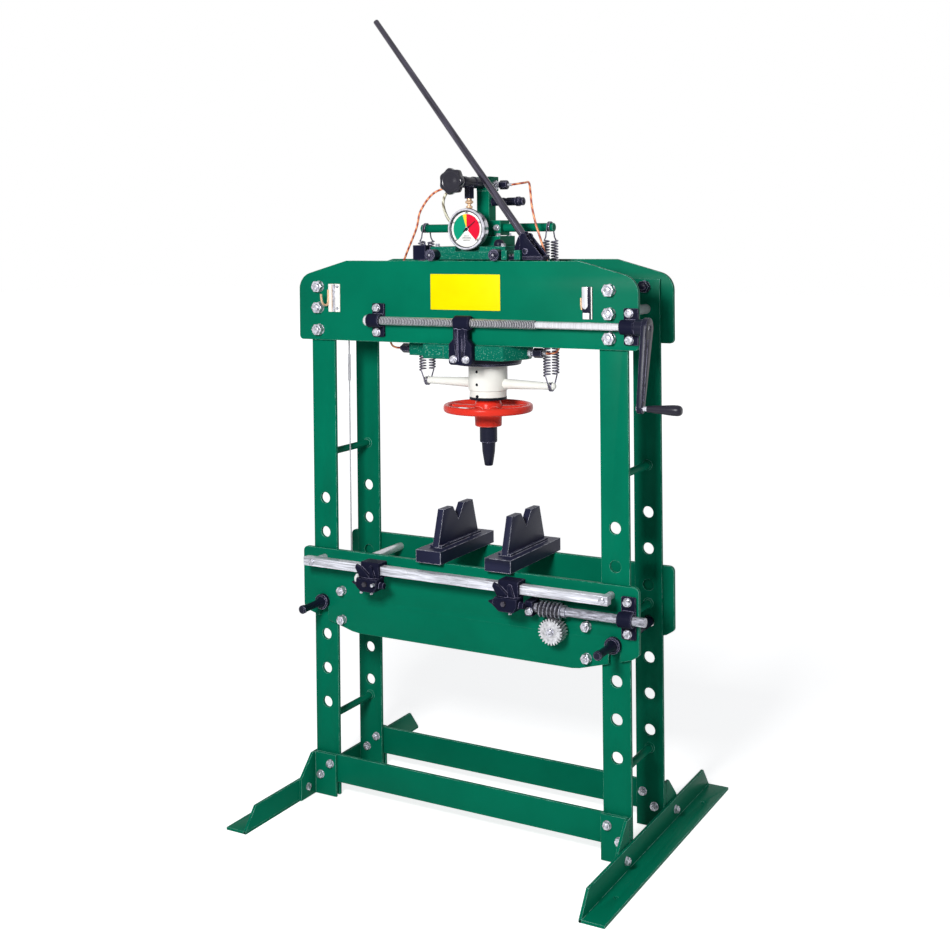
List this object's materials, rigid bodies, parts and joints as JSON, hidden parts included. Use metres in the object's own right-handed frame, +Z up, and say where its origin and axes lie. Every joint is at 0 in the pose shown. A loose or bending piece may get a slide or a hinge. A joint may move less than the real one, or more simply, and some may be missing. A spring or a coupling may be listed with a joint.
{
  "type": "hydraulic shop press",
  "caption": "Floor-standing shop press: plate frame, rolling cylinder carriage, hand pump, winch-lifted bed and V-blocks.",
  "frame": {"origin": "on the floor under the middle of the bounding box", "axes": "+Z up, +X to the operator's right towards the crank, the operator stands on the -Y side"},
  "size_m": [1.2454, 0.9, 2.2556],
  "materials": {
    "green_enamel": "glossy deep green enamel over plate steel",
    "black_enamel": "satin black enamel over cast iron and steel",
    "bright_steel": "machined and zinc-plated steel",
    "ivory_enamel": "ivory enamel",
    "red_enamel": "glossy red enamel",
    "copper_pipe": "drawn copper tube",
    "gunmetal": "dark oiled steel tube",
    "clear_hose": "clear braided plastic hose"
  },
  "bodies": {
    "frame": {"base_bar_front": "green_enamel", "base_bar_rear": "green_enamel", "beam_plate_front": "green_enamel", "beam_plate_rear": "green_enamel", "foot_left": "green_enamel", "foot_right": "green_enamel", "gusset_front_left": "green_enamel", "gusset_front_right": "green_enamel", "gusset_rear_left": "green_enamel", "gusset_rear_right": "green_enamel", "lift_cable_left": "bright_steel", "lift_cable_right": "bright_steel", "screw_bearing_left": "black_enamel", "screw_bearing_right": "black_enamel", "upright_front_left": "green_enamel", "upright_front_right": "green_enamel", "upright_rear_left": "green_enamel", "upright_rear_right": "green_enamel"},
    "screw": {"lead_screw": "bright_steel", "crank": "black_enamel"},
    "pin_left": {"support_pin_left": "black_enamel"},
    "pin_right": {"support_pin_right": "black_enamel"},
    "carriage": {"cylinder_body": "green_enamel", "gland_ring": "black_enamel", "nut_bracket": "black_enamel", "pump_column": "green_enamel", "spring_bar": "green_enamel", "gauge_case": "bright_steel", "tee_valve": "black_enamel", "pipe_left": "copper_pipe", "pipe_right": "copper_pipe", "drain_hose": "clear_hose", "pump_bracket": "black_enamel", "spring_left_front": "bright_steel", "spring_left_rear": "bright_steel", "spring_right_front": "bright_steel", "spring_right_rear": "bright_steel"},
    "rollers_left": {"roller_axle_left": "black_enamel"},
    "rollers_right": {"roller_axle_right": "black_enamel"},
    "valve_knob": {"valve_knob": "black_enamel"},
    "needle": {"gauge_needle": "black_enamel"},
    "release_valve": {"release_valve": "black_enamel"},
    "lever": {"pump_lever": "black_enamel", "pump_handle": "gunmetal"},
    "plunger": {"pump_plunger": "bright_steel"},
    "ram": {"ram_sleeve": "ivory_enamel"},
    "handwheel": {"handwheel": "red_enamel"},
    "nose": {"nose_spindle": "black_enamel"},
    "bed": {"bed_plate_front": "green_enamel", "bed_plate_rear": "green_enamel", "centre_rail": "bright_steel", "worm_bearing": "black_enamel"},
    "worm": {"worm_shaft": "bright_steel"},
    "winch": {"worm_wheel": "bright_steel"},
    "clamp_left": {"centre_clamp_left": "black_enamel"},
    "clamp_right": {"centre_clamp_right": "black_enamel"},
    "v_block_left": {"v_base_left": "black_enamel", "v_plate_left": "black_enamel"},
    "v_block_right": {"v_base_right": "black_enamel", "v_plate_right": "black_enamel"}
  },
  "joints": [
    {"name": "screw_spin", "type": "hinge", "parent": "frame", "child": "screw", "pos_m": [0.04425, -0.158, 1.396], "axis": [1, 0, 0], "range_deg": [-12240, 11520]},
    {"name": "carriage_slide", "type": "slide", "parent": "frame", "child": "carriage", "axis": [1, 0, 0], "range_m": [-0.1705, 0.1605]},
    {"name": "left_rollers_spin", "type": "hinge", "parent": "carriage", "child": "rollers_left", "pos_m": [-0.13275, 0, 1.5803], "axis": [0, 1, 0], "range_deg": [-660, 590]},
    {"name": "right_rollers_spin", "type": "hinge", "parent": "carriage", "child": "rollers_right", "pos_m": [0.06725, 0, 1.5803], "axis": [0, 1, 0], "range_deg": [-660, 590]},
    {"name": "left_pin_slide", "type": "slide", "parent": "frame", "child": "pin_left", "axis": [0, -1, 0], "range_m": [0, 0.3]},
    {"name": "right_pin_slide", "type": "slide", "parent": "frame", "child": "pin_right", "axis": [0, -1, 0], "range_m": [0, 0.3]},
    {"name": "ram_slide", "type": "slide", "parent": "carriage", "child": "ram", "axis": [0, 0, -1], "range_m": [0, 0.12], "stiffness_N_per_m": 1800, "springref_m": -0.12, "deforming": ["spring_left_front", "spring_left_rear", "spring_right_front", "spring_right_rear"]},
    {"name": "handwheel_spin", "type": "hinge", "parent": "ram", "child": "handwheel", "pos_m": [-0.03275, 0, 1.147], "axis": [0, 0, 1], "range_deg": [0, 3600]},
    {"name": "nose_slide", "type": "slide", "parent": "ram", "child": "nose", "axis": [0, 0, -1], "range_m": [0, 0.0602]},
    {"name": "handle_swing", "type": "hinge", "parent": "carriage", "child": "lever", "pos_m": [0.14925, -0.098, 1.59], "axis": [0, 1, 0], "range_deg": [0, 50]},
    {"name": "plunger_slide", "type": "slide", "parent": "carriage", "child": "plunger", "axis": [0, 0, 1], "range_m": [0, 0.0264]},
    {"name": "knob_turn", "type": "hinge", "parent": "carriage", "child": "valve_knob", "pos_m": [-0.03275, -0.19, 1.78], "axis": [0, 1, 0], "range_deg": [-90, 270]},
    {"name": "needle_swing", "type": "hinge", "parent": "carriage", "child": "needle", "pos_m": [-0.03275, -0.117, 1.651], "axis": [0, 1, 0], "range_deg": [-60, 190]},
    {"name": "release_turn", "type": "hinge", "parent": "carriage", "child": "release_valve", "pos_m": [0.04425, 0, 1.727], "axis": [1, 0, 0], "range_deg": [0, 90]},
    {"name": "worm_spin", "type": "hinge", "parent": "bed", "child": "worm", "pos_m": [0.24425, -0.156, 0.646], "axis": [1, 0, 0], "range_deg": [0, 3704.5]},
    {"name": "winch_spin", "type": "hinge", "parent": "bed", "child": "winch", "pos_m": [0.24125, 0, 0.592], "axis": [0, 1, 0], "range_deg": [0, 154.32]},
    {"name": "bed_lift", "type": "slide", "parent": "frame", "child": "bed", "axis": [0, 0, 1], "range_m": [0, 0.1], "deforming": ["lift_cable_left", "lift_cable_right"]},
    {"name": "left_centre_slide", "type": "slide", "parent": "bed", "child": "clamp_left", "axis": [1, 0, 0], "range_m": [-0.14, 0.09]},
    {"name": "right_centre_slide", "type": "slide", "parent": "bed", "child": "clamp_right", "axis": [1, 0, 0], "range_m": [-0.09, 0.15]},
    {"name": "left_v_block_slide", "type": "slide", "parent": "bed", "child": "v_block_left", "axis": [-1, 0, 0], "range_m": [0, 0.2]},
    {"name": "right_v_block_slide", "type": "slide", "parent": "bed", "child": "v_block_right", "axis": [1, 0, 0], "range_m": [0, 0.2]}
  ],
  "couplings": [
    {"joint": "carriage_slide", "follows": "screw_spin", "m_per_rad": 0.00079577},
    {"joint": "left_rollers_spin", "follows": "screw_spin", "ratio": 0.049736},
    {"joint": "right_rollers_spin", "follows": "screw_spin", "ratio": 0.049736},
    {"joint": "nose_slide", "follows": "handwheel_spin", "m_per_rad": 0.00095493},
    {"joint": "plunger_slide", "follows": "handle_swing", "m_per_rad": 0.03},
    {"joint": "worm_spin", "follows": "bed_lift", "rad_per_m": 645.16},
    {"joint": "winch_spin", "follows": "bed_lift", "rad_per_m": 26.882}
  ]
}
